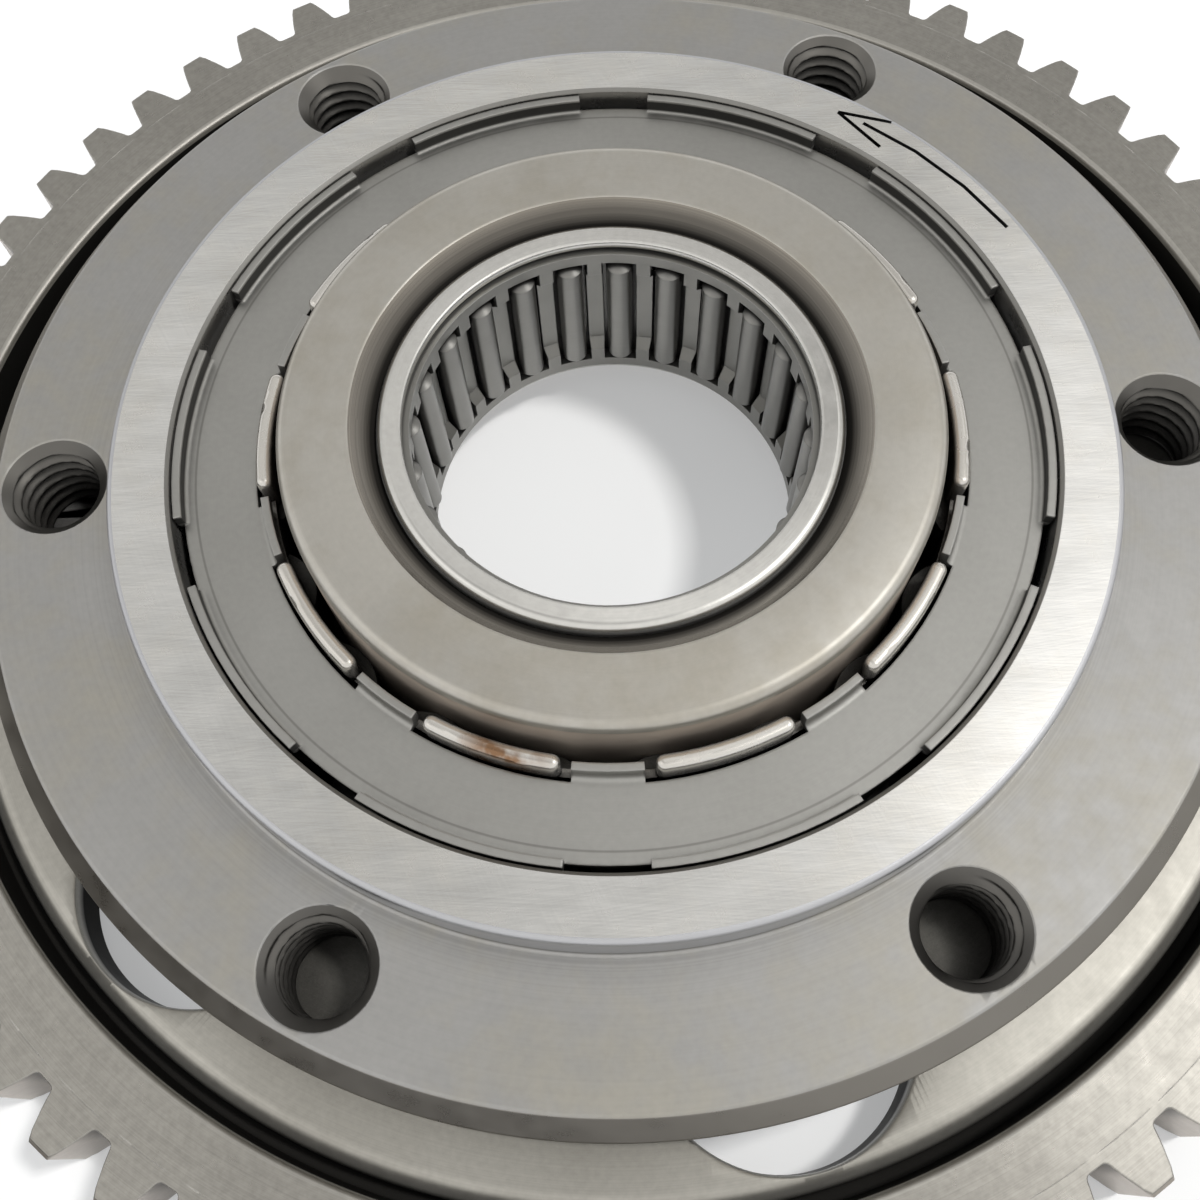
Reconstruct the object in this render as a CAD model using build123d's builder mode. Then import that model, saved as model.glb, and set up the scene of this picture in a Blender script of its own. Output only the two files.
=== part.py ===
from build123d import *
import os
from math import acos, cos, radians, sin, sqrt, tan

# One-way sprag clutch with its starter driven gear, in millimetres.
# The gear lies on z = 0 with its clutch side up, and the shared axis is Z.
# The gear's hub is the inner race. The flanged ring around it is the outer
# race, which bolts to a flywheel. Twenty sprags in two cages lock the races
# together one way and let them slip the other way.

# Driven gear
tooth_count = 64
module = 25.4 / 12
pressure_angle = 20
addendum = module
tooth_depth = 3.75
tooth_thickness = 3.72
tooth_phase = 5.28
root_fillet = 0.45
tip_edge = 0.35
face_width = 8.0
web_top = 6.6
web_thickness = 5.0
groove_outer_radius = 60.7
groove_width = 1.1
groove_floor = 3.4
groove_rounding = 2.0
groove_edge = 0.45
web_hole_count = 6
web_hole_radius = 10.65
web_hole_circle_radius = 47.6
web_hole_phase = -76
web_hole_edge = 0.3
back_recess_outer_radius = 59.0
back_recess_inner_radius = 30.0
back_recess_draft = 0.8

# Hub, which is the inner race
inner_race_radius = 27.0
hub_height = 22.8
hub_bevel_width = 1.1
hub_bevel_height = 0.9
hub_root_rounding = 0.7
bore_mouth_chamfer = 2.1
bore_back_chamfer = 1.0

# Drawn-cup needle bearing
cup_radius = 19.05
cup_length = 19.05
cup_wall = 0.8
cup_corner_rounding = 0.7
cup_lip_radius = 16.95
cup_below_hub_top = 0.9
shaft_radius = 15.875
needle_count = 24
needle_length = 13.7
needle_crown = 0.4
needle_phase = 10.9
needle_shaft_clearance = 0.01
needle_raceway_clearance = 0.015
needle_cage_end_gap = 0.3
needle_cage_sheet = 0.6
needle_cage_rim_radius = 16.45
needle_cage_raceway_gap = 0.3
needle_cage_rim_height = 2.7
needle_cage_slope_height = 0.9
needle_pocket_clearance = 0.35
needle_pocket_end_clearance = 0.45

# Outer race with its bolting flange
outer_race_radius = 36.5
race_mouth_chamfer = 0.45
spigot_radius = 41.65
spigot_height = 4.0
spigot_chamfer = 0.3
flange_bolt_margin = 6.68
flange_thickness = 8.3
flange_bevel_width = 1.7
flange_bevel_height = 1.9
flange_back_chamfer = 0.5
flange_web_clearance = 0.5
race_shoulder_height = 1.0
race_shoulder_radius = 34.6
bolt_count = 6
bolt_spigot_distance = 6.02
bolt_phase = 121.75
bolt_hole_radius = 3.4
bolt_countersink_radius = 4.6

# Sprag cages
cage_seat_gap = 0.1
cage_plate_below_spigot = 1.6
cage_sheet = 0.65
plate_edge_gap = 0.75
drag_tab_count = 10
drag_tab_angle = 25.8
drag_tab_phase = 106
drag_tab_race_gap = 0.2
drag_tab_height = 1.3
drag_tab_bend = 0.35
guide_tab_angle = 10.8
guide_tab_height = 1.5
guide_tab_bend = 0.55
outer_cage_wall = 0.7
outer_cage_race_gap = 1.4
inner_cage_wall = 0.7
inner_cage_race_gap = 1.4
inner_cage_plate_gap = 0.3
lug_angle = 19.2
lug_thickness = 1.3
lug_overhang = 0.25
lug_opening_gap = 0.3
lug_rise = 1.9
lug_rounding = 0.55
cage_band_height = 0.8

# Sprags and their ribbon spring
sprag_count = 20
sprag_phase = 7
sprag_race_clearance = 0.03
sprag_outer_cam_radius = 4.6
sprag_inner_cam_radius = 4.2
sprag_cam_offset = 0.6
sprag_outer_cam_angle = 37
sprag_inner_cam_angle = 41
sprag_waist = 3.7
sprag_end_clearance = 0.25
outer_window_clearance = 0.75
inner_window_clearance = 0.6
ribbon_sheet = 0.25
ribbon_end_gap = 0.25
ribbon_waist_clearance = 0.8
ribbon_leaf_length = 1.1
ribbon_leaf_height = 3.0
ribbon_crimp_radius = 0.8

# Sizes that follow from the ones above
pitch_radius = module * tooth_count / 2
tip_radius = pitch_radius + addendum
root_radius = tip_radius - tooth_depth
base_radius = pitch_radius * cos(radians(pressure_angle))
web_back = web_top - web_thickness
groove_inner_radius = groove_outer_radius - groove_width
cup_top = hub_height - cup_below_hub_top
cup_bottom = cup_top - cup_length
cup_middle = (cup_top + cup_bottom) / 2
raceway_radius = cup_radius - cup_wall
needle_radius = (raceway_radius - shaft_radius - needle_raceway_clearance - needle_shaft_clearance) / 2
needle_circle_radius = raceway_radius - needle_raceway_clearance - needle_radius
race_bottom = web_top + flange_web_clearance
flange_top = race_bottom + flange_thickness
spigot_top = flange_top + spigot_height
shoulder_top = race_bottom + race_shoulder_height
bolt_circle_radius = spigot_radius + bolt_spigot_distance
flange_radius = bolt_circle_radius + flange_bolt_margin
cage_bottom = shoulder_top + cage_seat_gap
plate_top = spigot_top - cage_plate_below_spigot
plate_bottom = plate_top - cage_sheet
plate_outer_radius = outer_race_radius - plate_edge_gap
drag_tab_outer_radius = outer_race_radius - drag_tab_race_gap
drag_tab_pitch = 360 / drag_tab_count
outer_cage_outer_radius = outer_race_radius - outer_cage_race_gap
outer_cage_inner_radius = outer_cage_outer_radius - outer_cage_wall
inner_cage_inner_radius = inner_race_radius + inner_cage_race_gap
inner_cage_outer_radius = inner_cage_inner_radius + inner_cage_wall
inner_cage_top = plate_bottom - inner_cage_plate_gap
lug_outer_radius = inner_cage_outer_radius + lug_overhang
lug_middle_radius = lug_outer_radius - lug_thickness / 2
plate_opening_radius = lug_outer_radius + lug_opening_gap
window_bottom = cage_bottom + cage_band_height
window_top = inner_cage_top - cage_band_height
sprag_bottom = window_bottom + sprag_end_clearance
sprag_length = window_top - window_bottom - 2 * sprag_end_clearance
sprag_middle = (window_bottom + window_top) / 2
sprag_circle_radius = (inner_race_radius + outer_race_radius) / 2
sprag_pitch = 360 / sprag_count


def around(angle, height=0):
    """Vertical plane through the axis, with the radius as its x and the height as its y."""
    direction = Vector(cos(radians(angle)), sin(radians(angle)), 0)
    normal = Vector(sin(radians(angle)), -cos(radians(angle)), 0)
    return Plane(origin=(0, 0, height), x_dir=direction, z_dir=normal)


def station(radius, angle, height):
    """Level plane at a radius and angle, with its x pointing away from the axis."""
    direction = Vector(cos(radians(angle)), sin(radians(angle)), 0)
    return Plane(origin=direction * radius + Vector(0, 0, height), x_dir=direction, z_dir=(0, 0, 1))


def involute(roll_angle):
    """How far, in radians, an involute has turned where its pressure angle is roll_angle."""
    return tan(roll_angle) - roll_angle


def flank_point(radius, side):
    """Point of a tooth flank at a radius, for a tooth that points along X."""
    half_at_pitch = tooth_thickness / 2 / pitch_radius
    turn = involute(radians(pressure_angle)) - involute(acos(base_radius / radius))
    angle = side * (half_at_pitch + turn)
    return (radius * cos(angle), radius * sin(angle))


def nearest_corner(sketch, point):
    """The corner of a sketch that lies closest to a point."""
    return sketch.vertices().sort_by_distance(point)[0]


def finish(part, name):
    """Label a finished piece and write it to its own file."""
    part.label = name
    export_step(part, f"parts/{name}.step")


os.makedirs("parts", exist_ok=True)

# One tooth of the driven gear, pointing along X, longer than the rim allows
tooth_foot = root_radius - tooth_depth / 10
tooth_crest = tip_radius + tip_edge
tooth_waist = (tooth_foot + tooth_crest) / 2
with BuildSketch() as tooth:
    with BuildLine():
        ThreePointArc(flank_point(tooth_foot, -1), flank_point(tooth_waist, -1), flank_point(tooth_crest, -1))
        Line(flank_point(tooth_crest, -1), flank_point(tooth_crest, 1))
        ThreePointArc(flank_point(tooth_crest, 1), flank_point(tooth_waist, 1), flank_point(tooth_foot, 1))
        Line(flank_point(tooth_foot, 1), flank_point(tooth_foot, -1))
    make_face()

# Starter driven gear: toothed rim, grooved web with lightening holes, and hub
gear_profile = [
    (cup_radius + bore_back_chamfer, 0),
    (back_recess_inner_radius - back_recess_draft, 0),
    (back_recess_inner_radius, web_back),
    (back_recess_outer_radius - back_recess_draft, web_back),
    (back_recess_outer_radius, 0),
    (tip_radius - tip_edge, 0),
    (tip_radius, tip_edge),
    (tip_radius, face_width - tip_edge),
    (tip_radius - tip_edge, face_width),
    (groove_outer_radius + groove_edge, face_width),
    (groove_outer_radius, face_width - groove_edge),
    (groove_outer_radius, groove_floor),
    (groove_inner_radius, groove_floor),
    (groove_inner_radius, web_top),
    (inner_race_radius, web_top),
    (inner_race_radius, hub_height - hub_bevel_height),
    (inner_race_radius - hub_bevel_width, hub_height),
    (cup_radius + bore_mouth_chamfer, hub_height),
    (cup_radius, hub_height - bore_mouth_chamfer),
    (cup_radius, bore_back_chamfer),
]
with BuildPart() as driven_gear:
    with BuildSketch(around(0)) as gear_section:
        with BuildLine():
            Polyline(*gear_profile, close=True)
        make_face()
        fillet(nearest_corner(gear_section, (groove_inner_radius, web_top)), groove_rounding)
        fillet(nearest_corner(gear_section, (inner_race_radius, web_top)), hub_root_rounding)
    revolve(axis=Axis.Z)
    with BuildSketch() as toothed_outline:
        Circle(root_radius)
        with PolarLocations(0, tooth_count, start_angle=tooth_phase):
            add(tooth.sketch)
        corners = toothed_outline.vertices()
        fillet(corners.filter_by(lambda corner: Vector(corner).length < pitch_radius), root_fillet)
    extrude(amount=hub_height, mode=Mode.INTERSECT)
    with Locations(Plane.XY.offset(web_top)):
        with PolarLocations(web_hole_circle_radius, web_hole_count, start_angle=web_hole_phase):
            CounterSinkHole(web_hole_radius, web_hole_radius + web_hole_edge, counter_sink_angle=90)
finish(driven_gear.part, "driven_gear")

# Drawn steel cup of the needle bearing, pressed into the hub
with BuildPart() as bearing_cup:
    with BuildSketch(around(0)) as cup_section:
        with BuildLine():
            Polyline(
                (cup_lip_radius, cup_bottom),
                (cup_radius, cup_bottom),
                (cup_radius, cup_top),
                (cup_lip_radius, cup_top),
                (cup_lip_radius, cup_top - cup_wall),
                (raceway_radius, cup_top - cup_wall),
                (raceway_radius, cup_bottom + cup_wall),
                (cup_lip_radius, cup_bottom + cup_wall),
                close=True,
            )
        make_face()
        fillet(nearest_corner(cup_section, (cup_radius, cup_top)), cup_corner_rounding)
        fillet(nearest_corner(cup_section, (cup_radius, cup_bottom)), cup_corner_rounding)
    revolve(axis=Axis.Z)
finish(bearing_cup.part, "bearing_cup")

# Needle cage: one bent strip, near the shaft at its rims and near the cup between them
cage_end = cup_top - cup_wall - needle_cage_end_gap
cage_bend = cage_end - needle_cage_rim_height
cage_run = cage_bend - needle_cage_slope_height
rim_inner = needle_cage_rim_radius
rim_outer = rim_inner + needle_cage_sheet
run_outer = raceway_radius - needle_cage_raceway_gap
run_inner = run_outer - needle_cage_sheet
upper_cage_profile = [
    (run_inner, cage_run),
    (rim_inner, cage_bend),
    (rim_inner, cage_end),
    (run_outer, cage_end),
    (run_outer, cage_end - needle_cage_sheet),
    (rim_outer, cage_end - needle_cage_sheet),
    (rim_outer, cage_bend),
    (run_outer, cage_run),
]
lower_cage_profile = [(radius, 2 * cup_middle - height) for radius, height in reversed(upper_cage_profile)]
pocket_length = needle_length + 2 * needle_pocket_end_clearance
pocket_width = 2 * (needle_radius + needle_pocket_clearance)
with BuildPart() as needle_cage:
    with BuildSketch(around(0)):
        with BuildLine():
            Polyline(*upper_cage_profile, *lower_cage_profile, close=True)
        make_face()
    revolve(axis=Axis.Z)
    with BuildSketch(Plane.XY.offset(cup_middle - pocket_length / 2)):
        with PolarLocations(needle_circle_radius, needle_count, start_angle=needle_phase):
            Rectangle(2 * cup_wall + 2 * needle_radius, pocket_width)
    extrude(amount=pocket_length, mode=Mode.SUBTRACT)
finish(needle_cage.part, "needle_cage")

# Needle rollers with crowned ends, standing between the shaft and the cup
needle_shoulder = needle_length / 2 - needle_crown
crown_radius = (needle_radius**2 + needle_crown**2) / (2 * needle_crown)
for number in range(needle_count):
    needle_angle = needle_phase + number * 360 / needle_count
    needle_foot = station(needle_circle_radius, needle_angle, cup_middle)
    needle_side = Plane(origin=needle_foot.origin, x_dir=needle_foot.x_dir, z_dir=-needle_foot.y_dir)
    with BuildPart() as needle:
        with BuildSketch(needle_side):
            with BuildLine():
                Line((0, -needle_length / 2), (0, needle_length / 2))
                RadiusArc((0, needle_length / 2), (needle_radius, needle_shoulder), crown_radius)
                Line((needle_radius, needle_shoulder), (needle_radius, -needle_shoulder))
                RadiusArc((needle_radius, -needle_shoulder), (0, -needle_length / 2), crown_radius)
            make_face()
        revolve(axis=Axis(needle_foot.origin, (0, 0, 1)))
    finish(needle.part, f"needle_{number + 1:02d}")

# Outer race: bored ring with a pilot spigot and a flange drilled for six bolts
race_profile = [
    (race_shoulder_radius, race_bottom),
    (flange_radius - flange_back_chamfer, race_bottom),
    (flange_radius, race_bottom + flange_back_chamfer),
    (flange_radius, flange_top - flange_bevel_height),
    (flange_radius - flange_bevel_width, flange_top),
    (spigot_radius, flange_top),
    (spigot_radius, spigot_top - spigot_chamfer),
    (spigot_radius - spigot_chamfer, spigot_top),
    (outer_race_radius + race_mouth_chamfer, spigot_top),
    (outer_race_radius, spigot_top - race_mouth_chamfer),
    (outer_race_radius, shoulder_top),
    (race_shoulder_radius, shoulder_top),
]
with BuildPart() as outer_race:
    with BuildSketch(around(0)):
        with BuildLine():
            Polyline(*race_profile, close=True)
        make_face()
    revolve(axis=Axis.Z)
    with Locations(Plane.XY.offset(flange_top)):
        with PolarLocations(bolt_circle_radius, bolt_count, start_angle=bolt_phase):
            CounterSinkHole(bolt_hole_radius, bolt_countersink_radius, counter_sink_angle=90)
finish(outer_race.part, "outer_race")

# Drag tab of the outer cage, curled up towards the race
bend_radius = drag_tab_bend + cage_sheet
bend_center_radius = drag_tab_outer_radius - bend_radius
bend_center_height = plate_bottom + bend_radius
tab_top = plate_top + drag_tab_height
with BuildPart() as drag_tab:
    with BuildSketch(around(-drag_tab_angle / 2)):
        with BuildLine():
            Polyline(
                (bend_center_radius, plate_top),
                (bend_center_radius - cage_sheet, plate_top),
                (bend_center_radius - cage_sheet, plate_bottom),
                (bend_center_radius, plate_bottom),
            )
            CenterArc((bend_center_radius, bend_center_height), bend_radius, -90, 90)
            Polyline(
                (drag_tab_outer_radius, bend_center_height),
                (drag_tab_outer_radius, tab_top),
                (drag_tab_outer_radius - cage_sheet, tab_top),
                (drag_tab_outer_radius - cage_sheet, bend_center_height),
            )
            CenterArc((bend_center_radius, bend_center_height), drag_tab_bend, 0, -90)
        make_face()
    revolve(axis=Axis.Z, revolution_arc=drag_tab_angle)

# Guide tab of the outer cage, curled up round the hub
guide_bend_radius = guide_tab_bend + cage_sheet
guide_inner_radius = plate_opening_radius - guide_bend_radius
guide_bend_height = plate_top + guide_tab_bend
guide_tab_top = plate_top + guide_tab_height
with BuildPart() as guide_tab:
    with BuildSketch(around(-guide_tab_angle / 2)):
        with BuildLine():
            Polyline(
                (plate_opening_radius, plate_top),
                (plate_opening_radius + cage_sheet, plate_top),
                (plate_opening_radius + cage_sheet, plate_bottom),
                (plate_opening_radius, plate_bottom),
            )
            CenterArc((plate_opening_radius, guide_bend_height), guide_bend_radius, -90, -90)
            Polyline(
                (guide_inner_radius, guide_bend_height),
                (guide_inner_radius, guide_tab_top),
                (guide_inner_radius + cage_sheet, guide_tab_top),
                (guide_inner_radius + cage_sheet, guide_bend_height),
            )
            CenterArc((plate_opening_radius, guide_bend_height), guide_tab_bend, 180, 90)
        make_face()
    revolve(axis=Axis.Z, revolution_arc=guide_tab_angle)

# Outer cage: end plate with its tabs, and a slotted wall between the sprags' outer ends
outer_cam_half_width = sprag_outer_cam_radius * sin(radians(sprag_outer_cam_angle))
outer_window_width = 2 * (outer_cam_half_width + outer_window_clearance)
with BuildPart() as outer_cage:
    with BuildSketch(around(0)):
        with BuildLine():
            Polyline(
                (outer_cage_inner_radius, cage_bottom),
                (outer_cage_outer_radius, cage_bottom),
                (outer_cage_outer_radius, plate_bottom),
                (plate_outer_radius, plate_bottom),
                (plate_outer_radius, plate_top),
                (plate_opening_radius, plate_top),
                (plate_opening_radius, plate_bottom),
                (outer_cage_inner_radius, plate_bottom),
                close=True,
            )
        make_face()
    revolve(axis=Axis.Z)
    for number in range(sprag_count):
        sprag_angle = sprag_phase + number * sprag_pitch
        with BuildSketch(station(outer_cage_inner_radius, sprag_angle, window_bottom)):
            with Locations((outer_cage_wall / 2, sprag_cam_offset)):
                Rectangle(3 * outer_cage_wall, outer_window_width)
        extrude(amount=window_top - window_bottom, mode=Mode.SUBTRACT)
    with PolarLocations(0, drag_tab_count, start_angle=drag_tab_phase):
        add(drag_tab.part)
    with PolarLocations(0, drag_tab_count, start_angle=drag_tab_phase + drag_tab_pitch / 2):
        add(guide_tab.part)
finish(outer_cage.part, "outer_cage")

# Lug of the inner cage, a rounded finger that stands up through an opening of the end plate
lug_top = plate_top + lug_rise
with BuildPart() as lug:
    with BuildSketch(Plane.XY.offset(window_top)):
        SlotArc(CenterArc((0, 0), lug_middle_radius, -lug_angle / 2, lug_angle), lug_thickness)
    extrude(amount=lug_top - window_top)
    fillet(lug.edges().group_by(Axis.Z)[-1], lug_rounding)

# Inner cage: slotted wall between the sprags' inner ends, with its lugs
inner_cam_half_width = sprag_inner_cam_radius * sin(radians(sprag_inner_cam_angle))
inner_window_width = 2 * (inner_cam_half_width + inner_window_clearance)
with BuildPart() as inner_cage:
    with BuildSketch(Plane.XY.offset(cage_bottom)):
        Circle(inner_cage_outer_radius)
        Circle(inner_cage_inner_radius, mode=Mode.SUBTRACT)
    extrude(amount=inner_cage_top - cage_bottom)
    for number in range(sprag_count):
        sprag_angle = sprag_phase + number * sprag_pitch
        with BuildSketch(station(inner_cage_inner_radius, sprag_angle, window_bottom)):
            with Locations((inner_cage_wall / 2, -sprag_cam_offset)):
                Rectangle(3 * inner_cage_wall, inner_window_width)
        extrude(amount=window_top - window_bottom, mode=Mode.SUBTRACT)
    with PolarLocations(0, drag_tab_count, start_angle=drag_tab_phase):
        add(lug.part)
finish(inner_cage.part, "inner_cage")

# Ribbon spring: crimped strip between the cages, with a window and a leaf for each sprag
ribbon_bottom = cage_bottom + ribbon_end_gap
ribbon_length = inner_cage_top - ribbon_end_gap - ribbon_bottom
ribbon_inner_radius = sprag_circle_radius - ribbon_sheet / 2
ribbon_window_width = sprag_waist + 2 * ribbon_waist_clearance
with BuildSketch() as crimp:
    Circle(ribbon_crimp_radius)
    Circle(ribbon_crimp_radius - ribbon_sheet, mode=Mode.SUBTRACT)
    with Locations((-ribbon_crimp_radius - ribbon_sheet / 2, 0)):
        Rectangle(2 * ribbon_crimp_radius, 2 * ribbon_crimp_radius, mode=Mode.SUBTRACT)
with BuildPart() as ribbon_spring:
    with BuildSketch(Plane.XY.offset(ribbon_bottom)):
        Circle(ribbon_inner_radius + ribbon_sheet)
        Circle(ribbon_inner_radius, mode=Mode.SUBTRACT)
        with PolarLocations(sprag_circle_radius, sprag_count, start_angle=sprag_phase + sprag_pitch / 2):
            Rectangle(2 * ribbon_sheet, 2 * ribbon_crimp_radius - ribbon_sheet, mode=Mode.SUBTRACT)
            add(crimp.sketch)
    extrude(amount=ribbon_length)
    with BuildSketch(Plane.XY.offset(window_bottom)):
        with PolarLocations(sprag_circle_radius, sprag_count, start_angle=sprag_phase):
            Rectangle(4 * ribbon_sheet, ribbon_window_width)
    extrude(amount=window_top - window_bottom, mode=Mode.SUBTRACT)
    with BuildSketch(Plane.XY.offset(sprag_middle - ribbon_leaf_height / 2)):
        with PolarLocations(sprag_circle_radius, sprag_count, start_angle=sprag_phase):
            with Locations((-ribbon_sheet / 2, ribbon_window_width / 2)):
                Rectangle(ribbon_leaf_length, ribbon_sheet, align=(Align.MIN, Align.MIN))
    extrude(amount=ribbon_leaf_height)
finish(ribbon_spring.part, "ribbon_spring")

# Sprags: two offset cams joined by a waist, each wedged between the races
outer_cam_reach = outer_race_radius - sprag_race_clearance - sprag_outer_cam_radius
inner_cam_reach = inner_race_radius + sprag_race_clearance + sprag_inner_cam_radius
outer_cam_x = sqrt(outer_cam_reach**2 - sprag_cam_offset**2) - sprag_circle_radius
inner_cam_x = sqrt(inner_cam_reach**2 - sprag_cam_offset**2) - sprag_circle_radius


def outer_cam_point(angle):
    """Point of the cam that meets the outer race, by its angle about the cam's centre."""
    return (
        outer_cam_x + sprag_outer_cam_radius * cos(radians(angle)),
        sprag_cam_offset + sprag_outer_cam_radius * sin(radians(angle)),
    )


def inner_cam_point(angle):
    """Point of the cam that meets the inner race, by its angle about the cam's centre."""
    return (
        inner_cam_x - sprag_inner_cam_radius * cos(radians(angle)),
        -sprag_cam_offset + sprag_inner_cam_radius * sin(radians(angle)),
    )


outer_ends = [outer_cam_point(angle) for angle in (-sprag_outer_cam_angle, 0, sprag_outer_cam_angle)]
inner_ends = [inner_cam_point(angle) for angle in (sprag_inner_cam_angle, 0, -sprag_inner_cam_angle)]
for number in range(sprag_count):
    sprag_angle = sprag_phase + number * sprag_pitch
    with BuildPart() as sprag:
        with BuildSketch(station(sprag_circle_radius, sprag_angle, sprag_bottom)):
            with BuildLine():
                ThreePointArc(*outer_ends)
                ThreePointArc(outer_ends[-1], (0, sprag_waist / 2), inner_ends[0])
                ThreePointArc(*inner_ends)
                ThreePointArc(inner_ends[-1], (0, -sprag_waist / 2), outer_ends[0])
            make_face()
        extrude(amount=sprag_length)
    finish(sprag.part, f"sprag_{number + 1:02d}")
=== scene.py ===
# %% [markdown]
# A sprag clutch lies on its starter gear. A sprag clutch lets one ring turn
# freely round another one way and locks it the other way. The steel gear at the
# bottom is driven by a starter motor, its hub is the inner ring, and the wide
# flanged ring bolts to a flywheel. Between the two stand twenty small cams.
#
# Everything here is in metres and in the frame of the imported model, so that
# each visible piece goes straight to where the model says.

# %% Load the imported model
from math import acos, atan2, cos, hypot, pi, radians, sin, tan

import bmesh
import bpy
from mathutils import Euler, Matrix, Vector


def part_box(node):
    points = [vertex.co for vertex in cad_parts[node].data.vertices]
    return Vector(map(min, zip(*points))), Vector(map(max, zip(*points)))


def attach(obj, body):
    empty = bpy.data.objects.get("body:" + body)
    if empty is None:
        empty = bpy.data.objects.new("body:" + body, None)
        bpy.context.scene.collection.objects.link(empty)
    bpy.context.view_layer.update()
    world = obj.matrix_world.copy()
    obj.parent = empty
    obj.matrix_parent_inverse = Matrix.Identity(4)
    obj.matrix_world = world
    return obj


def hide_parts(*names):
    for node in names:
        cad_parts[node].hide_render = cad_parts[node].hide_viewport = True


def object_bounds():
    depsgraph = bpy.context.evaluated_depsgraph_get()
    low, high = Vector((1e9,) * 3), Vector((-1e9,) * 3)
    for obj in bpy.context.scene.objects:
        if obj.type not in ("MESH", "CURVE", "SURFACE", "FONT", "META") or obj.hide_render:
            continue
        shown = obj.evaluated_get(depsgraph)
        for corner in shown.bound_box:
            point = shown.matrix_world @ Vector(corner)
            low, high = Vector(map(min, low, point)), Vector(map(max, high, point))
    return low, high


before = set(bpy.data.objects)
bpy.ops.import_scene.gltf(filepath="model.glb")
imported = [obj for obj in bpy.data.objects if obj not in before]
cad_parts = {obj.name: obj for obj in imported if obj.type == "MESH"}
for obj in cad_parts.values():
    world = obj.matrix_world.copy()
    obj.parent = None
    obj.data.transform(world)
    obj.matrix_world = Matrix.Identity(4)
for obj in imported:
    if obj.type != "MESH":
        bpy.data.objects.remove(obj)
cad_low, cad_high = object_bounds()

MM = 0.001
print("nodes in the frame:", len(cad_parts))
print("size of the model in mm:", [round((b - a) / MM, 2) for a, b in zip(cad_low, cad_high)])

# %% [markdown]
# The camera stands close over the part with a wide lens, as a phone does. Its
# place was worked out from the circles in the photograph: each circle on the
# part has a known height, and the way it is squashed tells where the eye is.

# %% Camera
CAMERA_PLACE = Vector((0.0, -0.0545186, 0.1111190))
CAMERA_TURN_DEG = (23.0809, 1.3858, -1.4106)
CAMERA_LENS = 38.471
CAMERA_SENSOR = 36.0
CAMERA_NEAREST = 0.005

camera_data = bpy.data.cameras.new("camera")
camera_data.lens = CAMERA_LENS
camera_data.sensor_width = CAMERA_SENSOR
camera_data.clip_start = CAMERA_NEAREST
camera = bpy.data.objects.new("camera", camera_data)
camera.location = CAMERA_PLACE
camera.rotation_euler = Euler([radians(a) for a in CAMERA_TURN_DEG])
bpy.context.collection.objects.link(camera)
bpy.context.scene.camera = camera
print("camera height over the gear's back in mm:", round(CAMERA_PLACE.z / MM, 1))

# %% [markdown]
# Materials come from a few small tools. A node tree is easier to read when one
# short function adds a node, sets its sockets and says what feeds them.

# %% Tools: nodes and their sockets
def fill(tree, socket, value):
    """Link a socket to another one, or set its plain value."""
    if isinstance(value, bpy.types.NodeSocket):
        tree.links.new(value, socket)
    else:
        socket.default_value = value


def node(tree, kind, inputs=(), **settings):
    """Add a node, set its properties, and fill its sockets by name or number."""
    made = tree.nodes.new(kind)
    for name, value in settings.items():
        setattr(made, name, value)
    for name, value in dict(inputs).items():
        fill(tree, made.inputs[name], value)
    return made


def math(tree, operation, *values):
    """A Math node; returns its output socket."""
    return node(tree, "ShaderNodeMath", enumerate(values), operation=operation).outputs[0]


def vector_math(tree, operation, *values):
    """A Vector Math node; returns its outputs."""
    return node(tree, "ShaderNodeVectorMath", enumerate(values), operation=operation).outputs


def remap(tree, value, low, high, to_low, to_high, **settings):
    """A Map Range node, clamped; returns its output socket."""
    made = node(tree, "ShaderNodeMapRange", {
        "Value": value, "From Min": low, "From Max": high, "To Min": to_low, "To Max": to_high},
        **settings)
    return made.outputs["Result"]


def blend_colors(tree, factor, first, second, mode="MIX"):
    """A colour Mix node; returns its output socket."""
    made = node(tree, "ShaderNodeMix", data_type="RGBA", blend_type=mode)
    for index, value in ((0, factor), (6, first), (7, second)):
        fill(tree, made.inputs[index], value)
    return made.outputs[2]


print("node tools ready")


# %% Tools: node groups and materials
def new_group(name, inputs, outputs):
    """A shader node group with value or vector sockets; returns tree, input and output node."""
    tree = bpy.data.node_groups.new(name, "ShaderNodeTree")
    kinds = {"value": "NodeSocketFloat", "vector": "NodeSocketVector"}
    for label, (kind, default) in inputs.items():
        socket = tree.interface.new_socket(label, in_out="INPUT", socket_type=kinds[kind])
        if default is not None:
            socket.default_value = default
    for label in outputs:
        tree.interface.new_socket(label, in_out="OUTPUT", socket_type=kinds["value"])
    return tree, tree.nodes.new("NodeGroupInput"), tree.nodes.new("NodeGroupOutput")


def use_group(tree, group, **inputs):
    """Place a node group in a material; returns its outputs."""
    made = tree.nodes.new("ShaderNodeGroup")
    made.node_tree = group
    for name, value in inputs.items():
        fill(tree, made.inputs[name], value)
    return made.outputs


def bare_material(name):
    """A material with an empty node tree; returns both."""
    made = bpy.data.materials.new(name)
    made.use_nodes = True
    made.node_tree.nodes.clear()
    return made, made.node_tree


def noise(tree, place, detail, scale=1.0):
    """A Noise Texture; returns its value socket."""
    made = node(tree, "ShaderNodeTexNoise", {"Vector": place, "Scale": scale, "Detail": detail})
    return made.outputs["Fac"]


print("group tools ready")

# %% [markdown]
# A lathe leaves fine circular lines round the axis. They are noise that changes
# quickly with the distance from the axis and slowly round it. Height is added to
# the distance, so that upright walls get lines too.

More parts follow.
